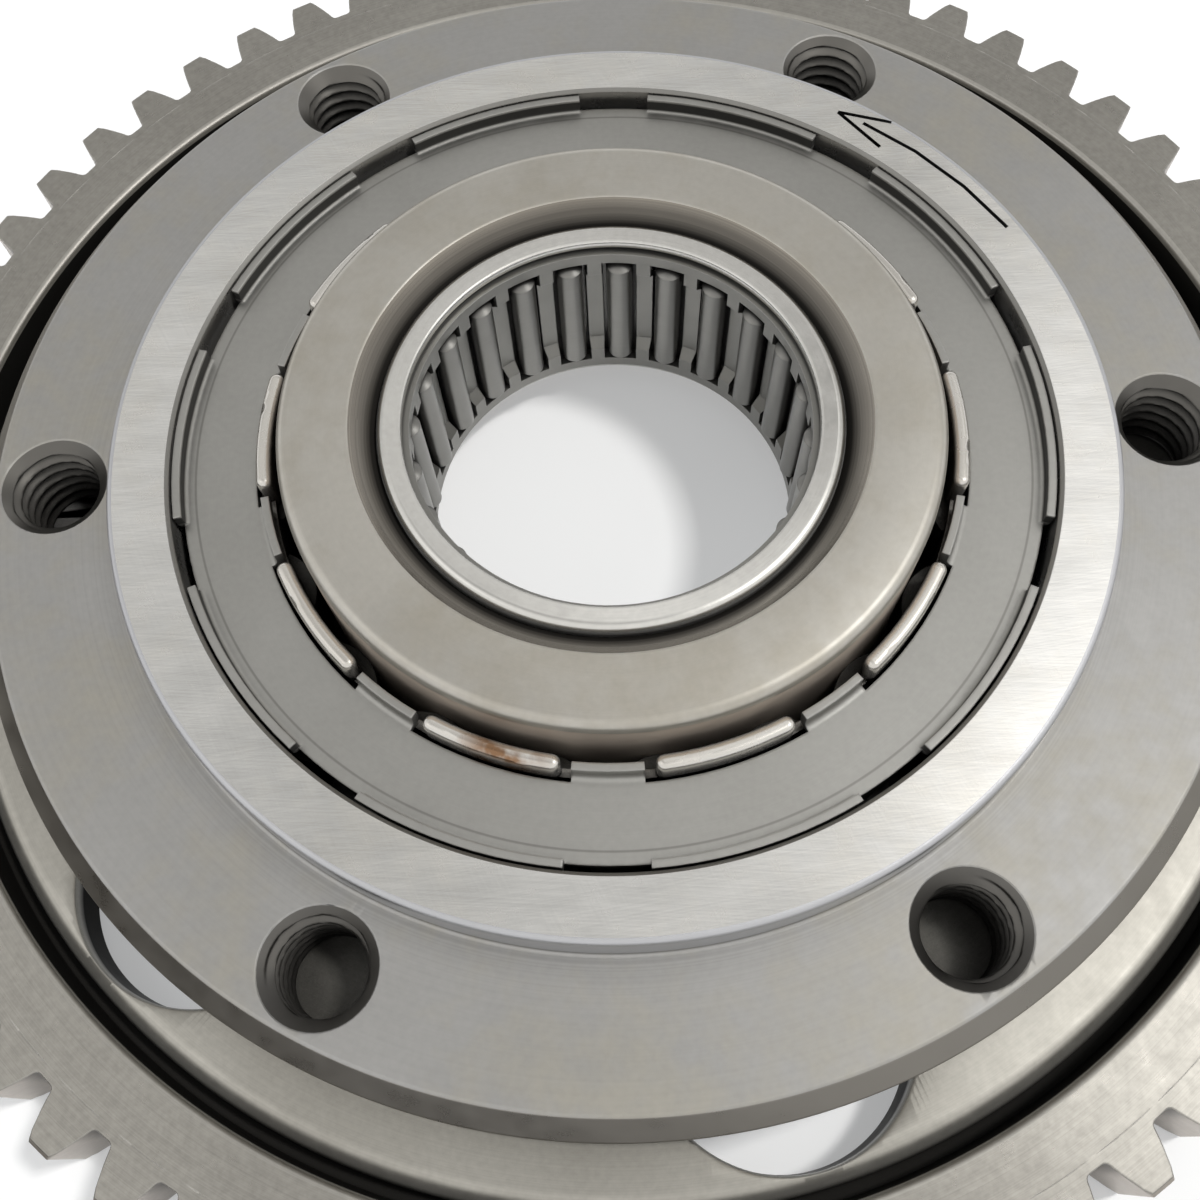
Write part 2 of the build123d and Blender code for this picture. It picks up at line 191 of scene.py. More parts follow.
# %% Group: lines that a lathe leaves round the axis
def build_turned_lines():
    tree, given, out = new_group(
        "turned_lines",
        {"Vector": ("vector", None), "Pitch": ("value", 0.00015), "Waver": ("value", 0.3)},
        ["Lines"],
    )
    x, y, z = node(tree, "ShaderNodeSeparateXYZ", {"Vector": given.outputs["Vector"]}).outputs
    squares = math(tree, "ADD", math(tree, "MULTIPLY", x, x), math(tree, "MULTIPLY", y, y))
    along = math(tree, "ADD", math(tree, "SQRT", squares), z)
    step = math(tree, "DIVIDE", along, given.outputs["Pitch"])
    angle = math(tree, "ARCTAN2", y, x)
    place = node(tree, "ShaderNodeCombineXYZ", {
        "X": step, "Y": math(tree, "MULTIPLY", angle, given.outputs["Waver"])})
    tree.links.new(noise(tree, place.outputs[0], 2.0), out.inputs["Lines"])
    return tree


turned_lines = build_turned_lines()
print("group:", turned_lines.name)

# %% [markdown]
# Handling leaves short scratches that run every way. Noise is stretched long in
# one direction, turned five ways, and only its highest places are kept.

# %% Group: short scratches in several directions
SCRATCH_TURNS_DEG = (12, 47, 83, 128, 161)
SCRATCH_LEVEL_NONE = 0.86
SCRATCH_LEVEL_FULL = 0.9


def build_scratches():
    tree, given, out = new_group(
        "scratches",
        {"Vector": ("vector", None), "Length": ("value", 0.004), "Width": ("value", 0.00006),
         "Share": ("value", 0.3)},
        ["Mask"],
    )
    total = None
    for number, turn in enumerate(SCRATCH_TURNS_DEG):
        rotated = node(tree, "ShaderNodeMapping", {
            "Vector": given.outputs["Vector"], "Rotation": (0, 0, radians(turn)),
            "Location": (0.013 * number, 0.007 * number, 0)})
        split = node(tree, "ShaderNodeSeparateXYZ", {"Vector": rotated.outputs[0]}).outputs
        long_way = math(tree, "DIVIDE", split[0], given.outputs["Length"])
        short_way = math(tree, "DIVIDE", split[1], given.outputs["Width"])
        place = node(tree, "ShaderNodeCombineXYZ", {"X": long_way, "Y": short_way, "Z": float(number)})
        streak = noise(tree, place.outputs[0], 1.0)
        more = math(tree, "MULTIPLY", given.outputs["Share"], 0.3)
        high = math(tree, "SUBTRACT", SCRATCH_LEVEL_NONE, more)
        mask = remap(tree, streak, high, SCRATCH_LEVEL_FULL, 0.0, 1.0)
        total = mask if total is None else math(tree, "MAXIMUM", total, mask)
    tree.links.new(total, out.inputs["Mask"])
    return tree


scratches = build_scratches()
print("group:", scratches.name)

# %% [markdown]
# Skin oil and polishing leave soft cloudy patches. Two noises of different size
# give them, and a seed moves them, so that no two steels have the same patches.

# %% Group: soft cloudy patches
def build_clouds():
    tree, given, out = new_group(
        "clouds",
        {"Vector": ("vector", None), "Size": ("value", 0.012), "Seed": ("value", 0.0)},
        ["Soft", "Spots"],
    )
    scaled = node(tree, "ShaderNodeVectorMath", {0: given.outputs["Vector"]}, operation="SCALE")
    tree.links.new(math(tree, "DIVIDE", 1.0, given.outputs["Size"]), scaled.inputs["Scale"])
    for label, scale, detail in (("Soft", 1.0, 4.0), ("Spots", 6.0, 5.0)):
        patches = node(tree, "ShaderNodeTexNoise", {
            "Vector": scaled.outputs[0], "W": given.outputs["Seed"], "Scale": scale, "Detail": detail},
            noise_dimensions="4D")
        tree.links.new(patches.outputs["Fac"], out.inputs[label])
    return tree


clouds = build_clouds()
print("group:", clouds.name)

# %% [markdown]
# A surface grinder leaves fine straight marks, most of them along one way, and
# faint broad patches where the wheel bit more. Three stretched noises are added,
# each with its own share, and a coarser one gives the patches.

# %% Group: straight marks of a surface grinder
GRINDING_PASSES = ((4, 0.45), (-9, 0.35), (63, 0.2))
MARK_LENGTH = 0.006
MARK_WIDTH = 0.00014
PATCH_LENGTH = 0.009
PATCH_WIDTH = 0.003


def stretched(tree, vector, length, width, lift=0.0):
    """A point measured in lengths along X and widths along Y."""
    split = node(tree, "ShaderNodeSeparateXYZ", {"Vector": vector}).outputs
    place = node(tree, "ShaderNodeCombineXYZ", {
        "X": math(tree, "DIVIDE", split[0], length), "Y": math(tree, "DIVIDE", split[1], width), "Z": lift})
    return place.outputs[0]


def build_ground_marks():
    tree, given, out = new_group("ground_marks", {"Vector": ("vector", None)}, ["Marks", "Patches"])
    total = None
    for number, (turn, share) in enumerate(GRINDING_PASSES):
        rotated = node(tree, "ShaderNodeMapping", {
            "Vector": given.outputs["Vector"], "Rotation": (0, 0, radians(turn))})
        place = stretched(tree, rotated.outputs[0], MARK_LENGTH, MARK_WIDTH, float(number))
        part = math(tree, "MULTIPLY", noise(tree, place, 2.0), share)
        total = part if total is None else math(tree, "ADD", total, part)
    broad = stretched(tree, given.outputs["Vector"], PATCH_LENGTH, PATCH_WIDTH)
    tree.links.new(total, out.inputs["Marks"])
    tree.links.new(noise(tree, broad, 4.0), out.inputs["Patches"])
    return tree


ground_marks = build_ground_marks()
print("group:", ground_marks.name)

# %% [markdown]
# All the steels are the same kind of thing: a metal whose colour, roughness and
# fine relief change over the surface. Three short functions say what marks it.
# The first gives the direction across the machining, along which a highlight is drawn out. The second gives
# the lighter and darker marks. The third finds deep gaps and other hollows, and paints shade into them, down
# to nearly black.

# %% Steel: what marks its surface
# The near-black colour is painted shade, laid into gaps and hollows.
PAINTED_SHADE_BLACK = (0.008, 0.0075, 0.007, 1)
# The pale edge colour is both wear and a painted highlight.
WORN_EDGE_AND_HIGHLIGHT = (0.85, 0.84, 0.82, 1)
SCRATCH_COLOR = (0.9, 0.89, 0.87, 1)
SCORE_COLOR = (0.12, 0.115, 0.105, 1)
STAIN_COLOR = (0.24, 0.11, 0.035, 1)
NOISE_RANGE = (0.3, 0.7)
GROUND_RANGE = (0.38, 0.62)
GRIT_SCALE = 1800.0
CLOUD_SIZE = 0.012
FLAT = (1, 1, 0)


def across_grain(tree, coords, grain):
    """Direction across the marks: away from the axis for turned ones, along Y for ground ones."""
    if grain == "ground":
        across = node(tree, "ShaderNodeCombineXYZ", {"Y": 1.0}).outputs[0]
    else:
        across = vector_math(tree, "MULTIPLY", coords, FLAT)[0]
    turned = node(tree, "ShaderNodeVectorTransform", {"Vector": across}, vector_type="VECTOR",
                  convert_from="OBJECT", convert_to="WORLD")
    return vector_math(tree, "NORMALIZE", turned.outputs[0])[0]


def machining(tree, coords, away, lines, pitch, waver, lines_end, grit, ground):
    """How much lighter or darker the machining leaves each point, and how high."""
    height = use_group(tree, turned_lines, Vector=coords, Pitch=pitch, Waver=waver)["Lines"]
    tone = remap(tree, height, *NOISE_RANGE, -lines, lines)
    if lines_end:
        tone = math(tree, "MULTIPLY", tone, remap(tree, away, *lines_end, 1.0, 0.2))
    if grit:
        specks = noise(tree, coords, 3.0, GRIT_SCALE)
        tone = math(tree, "ADD", tone, remap(tree, specks, *NOISE_RANGE, -grit, grit))
    if ground:
        marks = use_group(tree, ground_marks, Vector=coords)
        for label, spread in (("Marks", GROUND_RANGE), ("Patches", NOISE_RANGE)):
            tone = math(tree, "ADD", tone, remap(tree, marks[label], *spread, -ground, ground))
        height = marks["Marks"]
    return tone, height


def painted_shade_places(tree, away, tall, gap, gap_reach, gap_range, deep, root, band):
    """Mask of painted shade, down to nearly black, in gaps, low places, roots and a band."""
    openness = node(tree, "ShaderNodeAmbientOcclusion", {"Distance": gap_reach}, samples=8).outputs["AO"]
    dark = remap(tree, openness, *gap_range, 0.0, gap)
    if deep:
        dark = math(tree, "MAXIMUM", dark, remap(tree, tall, *deep, 0.0, 0.98))
    if root:
        dark = math(tree, "MAXIMUM", dark, remap(tree, away, *root, 0.97, 0.0))
    if band:
        inside = remap(tree, away, *band[0], 0.0, 1.0)
        above = remap(tree, tall, *band[1], 0.0, 1.0)
        below = remap(tree, tall, *band[2], 0.9, 0.0)
        within = math(tree, "MULTIPLY", above, below)
        dark = math(tree, "MAXIMUM", dark, math(tree, "MULTIPLY", inside, within))
    return dark


print("steel tools ready")

# %% [markdown]
# One function makes every steel from a short list of numbers. The corners of the imported solids are sharp,
# so a Bevel node rounds them a little in the shading, and edges come out brighter, as wear and as a painted
# highlight. Where shade is painted in, the metal is also less metallic, because bare metal would still mirror
# the sky at a low angle.

# %% Steel: one function for every finish
STAIN_REACH = (0.0012, 0.0042)
STAIN_SPOTS = (0.32, 0.52)
SCORE_EDGE = (0.00004, 0.00014)
EDGE_WEAR_AND_SHINE_TURN = (0.98, 0.75)
ROUGHNESS_SWING = 0.04
BUMP_DEPTH = 0.00001
BUMP_STRENGTH = 0.25


def with_stain(tree, base, flat, spots, place):
    """Brown blots round a place."""
    off = vector_math(tree, "DISTANCE", flat, (*place, 0))["Value"]
    near = remap(tree, off, *STAIN_REACH, 1.0, 0.0)
    blot = math(tree, "MULTIPLY", near, remap(tree, spots, *STAIN_SPOTS, 0.0, 1.0))
    return blend_colors(tree, math(tree, "MULTIPLY", blot, 0.9), base, STAIN_COLOR)


def with_score(tree, base, away, radius):
    """A thin dark line scored round the axis."""
    off = math(tree, "ABSOLUTE", math(tree, "SUBTRACT", away, radius))
    line = remap(tree, off, *SCORE_EDGE, 1.0, 0.0)
    return blend_colors(tree, math(tree, "MULTIPLY", line, 0.45), base, SCORE_COLOR)


def steel(name, color, shade, roughness, tint=None, cloud=0.5, lines=0.0, pitch=0.00008, waver=0.3,
          lines_end=None, grit=0.0, ground=0.0, scratch=0.0, scratch_length=0.004, anisotropic=0.0,
          grain="turned", edge=0.00012, edge_shine=0.25, gap=0.9, gap_reach=0.01,
          gap_range=(0.55, 0.12), deep=None, root=None, band=None, score=0.0, stain=None, seed=0.0):
    """A machined steel; shade is the colour of its darker patches, gap how dark the painted shade in deep
    gaps is.

    lines_end: radii between which the turned lines fade; deep: heights between which painted shade falls to
    black; root: radii between which painted shade rises from black; band: a radius and two heights, each a
    range, that bound a band of painted shade; score: radius of a scored line; stain: place of a brown mark."""
    made, tree = bare_material(name)
    coords = node(tree, "ShaderNodeTexCoord").outputs["Object"]
    flat = vector_math(tree, "MULTIPLY", coords, FLAT)[0]
    away = vector_math(tree, "LENGTH", flat)["Value"]
    tall = node(tree, "ShaderNodeSeparateXYZ", {"Vector": coords}).outputs[2]
    patches = use_group(tree, clouds, Vector=coords, Size=CLOUD_SIZE, Seed=seed)
    cloudy = remap(tree, patches["Soft"], 0.35, 0.7, 0.0, cloud)
    base = blend_colors(tree, cloudy, (*color, 1), (*shade, 1))
    if tint:
        broad = math(tree, "MULTIPLY", patches["Soft"], 0.6)
        where = math(tree, "ADD", broad, math(tree, "MULTIPLY", patches["Spots"], 0.4))
        base = blend_colors(tree, remap(tree, where, 0.45, 0.65, 0.0, 0.8), base, (*tint, 1))
    tone, height = machining(tree, coords, away, lines, pitch, waver, lines_end, grit, ground)
    base = blend_colors(tree, 1.0, base, math(tree, "ADD", 1.0, tone), "MULTIPLY")
    if stain:
        base = with_stain(tree, base, flat, patches["Spots"], stain)
    if score:
        base = with_score(tree, base, away, score)
    if scratch:
        marks = use_group(tree, scratches, Vector=coords, Length=scratch_length, Share=scratch)["Mask"]
        base = blend_colors(tree, math(tree, "MULTIPLY", marks, 0.3), base, SCRATCH_COLOR)
        height = math(tree, "SUBTRACT", height, math(tree, "MULTIPLY", marks, 0.5))
    rounded = node(tree, "ShaderNodeBevel", {"Radius": edge}, samples=4).outputs[0]
    sharp = node(tree, "ShaderNodeNewGeometry").outputs["Normal"]
    turn = vector_math(tree, "DOT_PRODUCT", rounded, sharp)["Value"]
    # Edges are painted paler, as wear and as a highlight.
    base = blend_colors(tree, remap(tree, turn, *EDGE_WEAR_AND_SHINE_TURN, 0.0, edge_shine), base, WORN_EDGE_AND_HIGHLIGHT)
    # Painted shade: gaps and hollows are darkened towards black here, and lose their metal.
    dark = painted_shade_places(tree, away, tall, gap, gap_reach, gap_range, deep, root, band)
    base = blend_colors(tree, dark, base, PAINTED_SHADE_BLACK)
    unshaded_share = math(tree, "SUBTRACT", 1.0, dark)
    bump = node(tree, "ShaderNodeBump", {
        "Height": height, "Normal": rounded, "Distance": BUMP_DEPTH * (1 + 8 * lines + 8 * ground),
        "Strength": BUMP_STRENGTH if lines or ground or scratch else 0.0})
    uneven = remap(tree, patches["Spots"], *NOISE_RANGE, -ROUGHNESS_SWING, ROUGHNESS_SWING)
    rough = math(tree, "ADD", roughness, uneven)
    shader = node(tree, "ShaderNodeBsdfPrincipled", {
        "Base Color": base, "Roughness": rough, "Normal": bump.outputs[0], "Metallic": unshaded_share,
        "Specular IOR Level": math(tree, "MULTIPLY", unshaded_share, 0.5), "Anisotropic": anisotropic})
    if anisotropic:
        tree.links.new(across_grain(tree, coords, grain), shader.inputs["Tangent"])
    node(tree, "ShaderNodeOutputMaterial", {"Surface": shader.outputs[0]})
    return made


print("steel function ready")

# %% [markdown]
# The gear is turned all over, warm grey and a little dull. Its web lies lower and is lighter, and falls to
# painted black shade low down, on the walls of its holes. The groove between web and rim is painted black, as
# the shade deep in it, and the rounded edge of the rim is painted lighter, as a highlight. The flanks of the
# teeth are brown-grey, with painted shade at their roots. The hub's top is smooth and warm, its wall is
# brown, and the slope down to the bearing falls to painted black shade where the bearing starts.

# %% Steels of the gear
gear_steel = steel("gear_steel", (0.375, 0.361, 0.33), (0.265, 0.252, 0.228), 0.3, cloud=0.35,
                   lines=0.08, grit=0.08, scratch=0.1, anisotropic=0.4, seed=1.0)
# The web falls to painted black shade below its top, on the walls of the holes and into the groove.
web_steel = steel("web_steel", (0.46, 0.445, 0.405), (0.34, 0.325, 0.29), 0.34,
                  lines=0.04, grit=0.05, anisotropic=0.4, deep=(0.00648, 0.0050), seed=1.5)
# The groove is painted near black, as the shade deep down in it.
groove_shade_steel = steel("groove_shade_steel", (0.03, 0.029, 0.027), (0.02, 0.019, 0.017), 0.4,
                     edge_shine=0.0, seed=1.1)
# The rounded edge of the rim is painted lighter than the gear's face, as a highlight.
rim_edge_highlight_steel = steel("rim_edge_highlight_steel", (0.44, 0.425, 0.39), (0.38, 0.365, 0.335), 0.34,
                       lines=0.05, grit=0.04, seed=1.2)
# The flanks are painted dark towards the roots, as shade.
flank_steel = steel("flank_steel", (0.5, 0.46, 0.42), (0.4, 0.36, 0.32), 0.4,
                    grit=0.05, edge=0.0003, gap=0.4, root=(0.0658, 0.0677), seed=1.3)
hub_steel = steel("hub_steel", (0.54, 0.52, 0.475), (0.46, 0.443, 0.4), 0.36,
                  tint=(0.45, 0.42, 0.36), lines=0.02, grit=0.03, seed=1.7)
hub_wall_steel = steel("hub_wall_steel", (0.66, 0.58, 0.5), (0.5, 0.44, 0.38), 0.6, gap=0.1, seed=1.8)
# The slope is painted black near the bearing, as shade.
slope_steel = steel("slope_steel", (0.27, 0.248, 0.215), (0.19, 0.172, 0.148), 0.2,
                    lines=0.2, pitch=0.0002, anisotropic=0.5, root=(0.0195, 0.0211), seed=1.9)
print("gear steels:", [m.name for m in bpy.data.materials][-8:])

# %% [markdown]
# The outer race has two finishes. Its flange is turned and dull, with lines that show near the foot of the
# ring. The ring is ground: bright, a little yellow in places, and drawn with straight marks. Its rounded edge
# is bluish, its mouth and bore are darker, the engraving is nearly black, and the threads are painted nearly
# black as the shade inside their holes.

# %% Steels of the outer race
flange_steel = steel("flange_steel", (0.415, 0.41, 0.4), (0.35, 0.345, 0.335), 0.46,
                     tint=(0.43, 0.41, 0.36), lines=0.09, pitch=0.00024, waver=0.1,
                     lines_end=(0.042, 0.0465), grit=0.03, seed=2.0)
bevel_steel = steel("bevel_steel", (0.32, 0.305, 0.28), (0.25, 0.235, 0.21), 0.3, seed=2.1)
ring_steel = steel("ring_steel", (0.74, 0.735, 0.715), (0.66, 0.655, 0.635), 0.25,
                   tint=(0.72, 0.7, 0.65), ground=0.07, scratch=0.3, scratch_length=0.005,
                   anisotropic=0.7, grain="ground", seed=2.2)
ring_edge_steel = steel("ring_edge_steel", (0.56, 0.565, 0.585), (0.5, 0.505, 0.52), 0.42, seed=2.3)
race_mouth_steel = steel("race_mouth_steel", (0.28, 0.275, 0.26), (0.22, 0.215, 0.2), 0.4, seed=2.35)
race_bore_steel = steel("race_bore_steel", (0.4, 0.39, 0.37), (0.3, 0.29, 0.27), 0.28,
                        lines=0.03, gap=0.5, seed=2.4)
# The threads are painted nearly black, as the shade inside their holes.
thread_shade_steel = steel("thread_shade_steel", (0.17, 0.163, 0.15), (0.09, 0.086, 0.08), 0.34,
                     edge_shine=0.3, gap=1.0, seed=2.6)
engraved_steel = steel("engraved_steel", (0.09, 0.088, 0.082), (0.05, 0.048, 0.045), 0.5,
                       edge_shine=0.0, seed=2.8)
print("race steels:", [m.name for m in bpy.data.materials][-8:])

# %% [markdown]
# The bearing's cup is bright drawn steel. Its cage and needles are painted dark, as the shade deep in the
# bore, with black painted shade in the gaps between them. The end plate of the sprag cage is pressed sheet
# with one scored line and painted shade on the inner sides of its tabs. The lugs of the inner cage are
# bright, and one has a brown stain. Sprags and spring are painted dark, as the shade inside the clutch.

# %% Steels of the bearing and the sprags
cup_steel = steel("cup_steel", (0.73, 0.72, 0.69), (0.6, 0.59, 0.56), 0.22,
                  lines=0.02, grit=0.03, seed=3.0)
# Needles and needle cage are painted dark, as the shade deep in the bore, with painted black shade in the
# gaps between them.
needle_steel = steel("needle_steel", (0.27, 0.266, 0.252), (0.21, 0.207, 0.195), 0.34,
                     lines=0.02, gap=0.97, gap_reach=0.0025, gap_range=(0.8, 0.35), seed=4.0)
needle_cage_steel = steel("needle_cage_steel", (0.27, 0.266, 0.25), (0.2, 0.197, 0.185), 0.38,
                          gap=0.9, gap_reach=0.002, gap_range=(0.6, 0.1), seed=5.0)
# The band is painted shade on the inner sides of the tabs.
plate_steel = steel("plate_steel", (0.41, 0.405, 0.385), (0.34, 0.335, 0.315), 0.4,
                    lines=0.015, grit=0.03, edge=0.00026, score=0.0347,
                    band=((0.0352, 0.0355), (0.01785, 0.018), (0.01885, 0.01895)), seed=6.0)
lug_steel = steel("lug_steel", (0.72, 0.70, 0.66), (0.6, 0.56, 0.5), 0.26,
                  gap=1.0, stain=(-0.00896, -0.0276), seed=7.0)
# Sprags and spring are painted dark, as the shade inside the clutch.
sprag_steel = steel("sprag_steel", (0.2, 0.195, 0.18), (0.12, 0.115, 0.105), 0.3, gap=1.0, seed=8.0)
spring_steel = steel("spring_steel", (0.16, 0.16, 0.165), (0.1, 0.1, 0.105), 0.35, gap=1.0, seed=9.0)
print("other steels:", [m.name for m in bpy.data.materials][-7:])

# %% [markdown]
# Turned pieces are made the way a lathe makes them: an outline in the plane of
# radius and height is swept once round the axis. Each corner of the outline has
# its own rounding, because real steel has no sharp corners, and the thin bright
# line along a rounded edge is much of what makes machined steel look real. The
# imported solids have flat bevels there, so these finer pieces stand in for them.

# %% Tools for outlines and turned pieces
def rounded_outline(corners, arc_steps=5):
    """Closed outline from (x, y, rounding) corners in mm, with an arc at each rounded one."""
    points = []
    for index, (x, y, rounding) in enumerate(corners):
        corner = Vector((x, y))
        if not rounding:
            points.append(corner)
            continue
        before = (Vector(corners[index - 1][:2]) - corner).normalized()
        after = (Vector(corners[(index + 1) % len(corners)][:2]) - corner).normalized()
        half = before.angle(after) / 2
        center = corner + (before + after).normalized() * rounding / sin(half)
        start = corner + before * rounding / tan(half) - center
        stop = corner + after * rounding / tan(half) - center
        swing = atan2(start.x * stop.y - start.y * stop.x, start.dot(stop))
        for step in range(arc_steps + 1):
            points.append(center + Matrix.Rotation(swing * step / arc_steps, 2) @ start)
    return points


def ring_mesh(name, rings, closed=True):
    """Mesh from rings of points in mm; it closes on itself, or has a flat cap at each end."""
    mesh = bpy.data.meshes.new(name)
    count = len(rings[0])
    points = [Vector(point) * MM for ring in rings for point in ring]
    faces = []
    for number in range(len(rings) if closed else len(rings) - 1):
        here = number * count
        there = (number + 1) % len(rings) * count
        for index in range(count):
            following = (index + 1) % count
            faces.append((here + index, here + following, there + following, there + index))
    if not closed:
        faces.append(tuple(range(count)))
        faces.append(tuple(reversed(range(len(points) - count, len(points)))))
    mesh.from_pydata(points, [], faces)
    shape = bmesh.new()
    shape.from_mesh(mesh)
    bmesh.ops.recalc_face_normals(shape, faces=shape.faces)
    shape.to_mesh(mesh)
    shape.free()
    return mesh


def turned_rings(outline, segments):
    """Rings round the axis, one for each point of an outline."""
    angles = [2 * pi * step / segments for step in range(segments)]
    return [[(p.x * cos(a), p.x * sin(a), p.y) for a in angles] for p in outline]


print("tools for turned pieces ready")


# %% Tools for pieces: add, cut, paint and stand in
def add_piece(name, mesh):
    """Put a mesh in the scene as a piece."""
    piece = bpy.data.objects.new(name, mesh)
    bpy.context.collection.objects.link(piece)
    return piece


def cut_away(piece, cutters):
    """Cut closed meshes out of a piece, and drop the cutters."""
    tools = [add_piece("cutter", mesh) for mesh in cutters]
    for tool in tools:
        cut = piece.modifiers.new("cut", "BOOLEAN")
        cut.operation = "DIFFERENCE"
        cut.solver = "EXACT"
        cut.object = tool
    done = piece.evaluated_get(bpy.context.evaluated_depsgraph_get())
    mesh = bpy.data.meshes.new_from_object(done)
    piece.modifiers.clear()
    piece.data = mesh
    for tool in tools:
        bpy.data.objects.remove(tool)


def stand_in(piece, node_name, body, sharp_degrees=38):
    """Smooth a piece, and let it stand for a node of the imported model."""
    piece.data.shade_smooth()
    piece.data.set_sharp_from_angle(angle=radians(sharp_degrees))
    weighted = piece.modifiers.new("flat faces stay flat", "WEIGHTED_NORMAL")
    weighted.keep_sharp = True
    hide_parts(node_name)
    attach(piece, body)


def paint(piece, materials, choose):
    """Give each face one of the materials, by the radius and height of its middle in mm."""
    for material in materials:
        piece.data.materials.append(material)
    for face in piece.data.polygons:
        radius = hypot(face.center.x, face.center.y) / MM
        face.material_index = materials.index(choose(radius, face.center.z / MM))


print("tools for pieces ready")

# %% [markdown]
# The outer race is a ground ring that stands on a wide flange. Six holes in the
# flange have M8 threads. Seen from above, a thread is a stack of bright crests
# in a dark hole, so each hole is cut by a tool whose radius follows the thread
# as it climbs. A bump map would look flat here, because the crests hide parts
# of one another.

# %% Outer race: measures in mm
race_low, race_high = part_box("outer_race")
RACE_BOTTOM = race_low.z / MM
RING_TOP = race_high.z / MM
RING_HEIGHT = 4.0
RING_RADIUS = 41.65
RING_ROUNDING = 0.55
FLANGE_RADIUS = race_high.x / MM
FLANGE_TOP = RING_TOP - RING_HEIGHT
BEVEL_WIDTH = 1.7
BEVEL_HEIGHT = 1.9
RACE_BORE = 36.5
MOUTH_WIDTH = 0.3
MOUTH_DEPTH = 0.28
SHOULDER_RADIUS = 34.6
SHOULDER_TOP = RACE_BOTTOM + 1.0
race_corners = [
    (SHOULDER_RADIUS, RACE_BOTTOM, 0.2),
    (FLANGE_RADIUS, RACE_BOTTOM, 0.5),
    (FLANGE_RADIUS, FLANGE_TOP - BEVEL_HEIGHT, 0.35),
    (FLANGE_RADIUS - BEVEL_WIDTH, FLANGE_TOP, 0.5),
    (RING_RADIUS, FLANGE_TOP, 0.35),
    (RING_RADIUS, RING_TOP, RING_ROUNDING),
    (RACE_BORE + MOUTH_WIDTH, RING_TOP, 0.04),
    (RACE_BORE, RING_TOP - MOUTH_DEPTH, 0.06),
    (RACE_BORE, SHOULDER_TOP, 0),
    (SHOULDER_RADIUS, SHOULDER_TOP, 0.1),
]
print("flange radius:", round(FLANGE_RADIUS, 2), "ring top:", round(RING_TOP, 2))

# %% Outer race: the tool for a threaded hole
HOLE_COUNT = 6
HOLE_CIRCLE = 47.67
HOLE_PHASE = 121.75
COUNTERSINK = 4.6
THREAD_CREST = 3.4
THREAD_ROOT = 3.98
THREAD_PITCH = 1.25
THREAD_SLOPE = 1.3
THREAD_FLAT = 0.18
CUTTER_OVERRUN_BELOW = 0.6
CUTTER_OVERRUN_ABOVE = 0.4


def threaded_hole(turn_degrees, segments=48, step=0.1):
    """Closed cutter for one countersunk hole with a thread, in its place on the flange."""
    turn = radians(turn_degrees)
    middle = Vector((HOLE_CIRCLE * cos(turn), HOLE_CIRCLE * sin(turn)))
    low, high = RACE_BOTTOM - CUTTER_OVERRUN_BELOW, FLANGE_TOP + CUTTER_OVERRUN_ABOVE
    rings = []
    for number in range(round((high - low) / step) + 1):
        height = low + number * step
        cone = COUNTERSINK - (FLANGE_TOP - height)
        ring = []
        for index in range(segments):
            angle = 2 * pi * index / segments
            climb = (height / THREAD_PITCH - angle / (2 * pi) + turn_degrees / 90) % 1
            groove = min(max(abs(2 * climb - 1) * THREAD_SLOPE - THREAD_FLAT, 0), 1)
            radius = max(THREAD_CREST + (THREAD_ROOT - THREAD_CREST) * groove, cone)
            ring.append((middle.x + radius * cos(angle), middle.y + radius * sin(angle), height))
        rings.append(ring)
    return ring_mesh("threaded_hole", rings, closed=False)


print("threaded holes:", HOLE_COUNT)

# %% [markdown]
# The arrow on the ring shows which way it turns freely. It is scratched in with
# a thin round tool that follows the ring. Each stroke is a curve with a round
# section, sunk just deep enough to leave a groove of the wanted width.

# %% Outer race: the tool for the engraved arrow
ARROW_SHAFT = [(40.18, 28.2), (40.0, 36.3), (39.8, 44.4), (39.54, 52.5)]
ARROW_TIP = (39.44, 56.25)
ARROW_BARBS = [(41.15, 49.6), (38.11, 48.4)]


def engraver(route, depth=0.18, width=0.36):
    """Closed cutter for a stroke on the ring's top, through (radius, degrees) points."""
    radius = (width**2 / 4 + depth**2) / (2 * depth)
    height = RING_TOP + radius - depth
    curve = bpy.data.curves.new("stroke", "CURVE")
    curve.dimensions = "3D"
    curve.bevel_depth = radius * MM
    curve.bevel_resolution = 3
    curve.use_fill_caps = True
    spline = curve.splines.new("POLY")
    spline.points.add(len(route) - 1)
    for point, (away, degrees_round) in zip(spline.points, route):
        angle = radians(degrees_round)
        point.co = (away * cos(angle) * MM, away * sin(angle) * MM, height * MM, 1)
    holder = bpy.data.objects.new("stroke", curve)
    mesh = bpy.data.meshes.new_from_object(holder)
    bpy.data.objects.remove(holder)
    return mesh


print("arrow from", ARROW_SHAFT[0][1], "to", ARROW_TIP[1], "degrees")

# %% [markdown]
# Now the race is turned, drilled and engraved. Its faces are then told apart by
# where they lie, so that the ground top, the edge, the bore, the threads and the
# bevel each take their own steel.

# %% Outer race: turn it, drill it and engrave it
BEVEL_ZONE = 1.9

race_rings = turned_rings(rounded_outline(race_corners), 360)
race_body = add_piece("race_body", ring_mesh("race_body", race_rings))
hole_angles = [HOLE_PHASE + 360 / HOLE_COUNT * number for number in range(HOLE_COUNT)]
strokes = [ARROW_SHAFT, [ARROW_BARBS[0], ARROW_TIP], [ARROW_TIP, ARROW_BARBS[1]]]
threaded_holes = [threaded_hole(angle) for angle in hole_angles]
cut_away(race_body, threaded_holes + [engraver(route) for route in strokes])


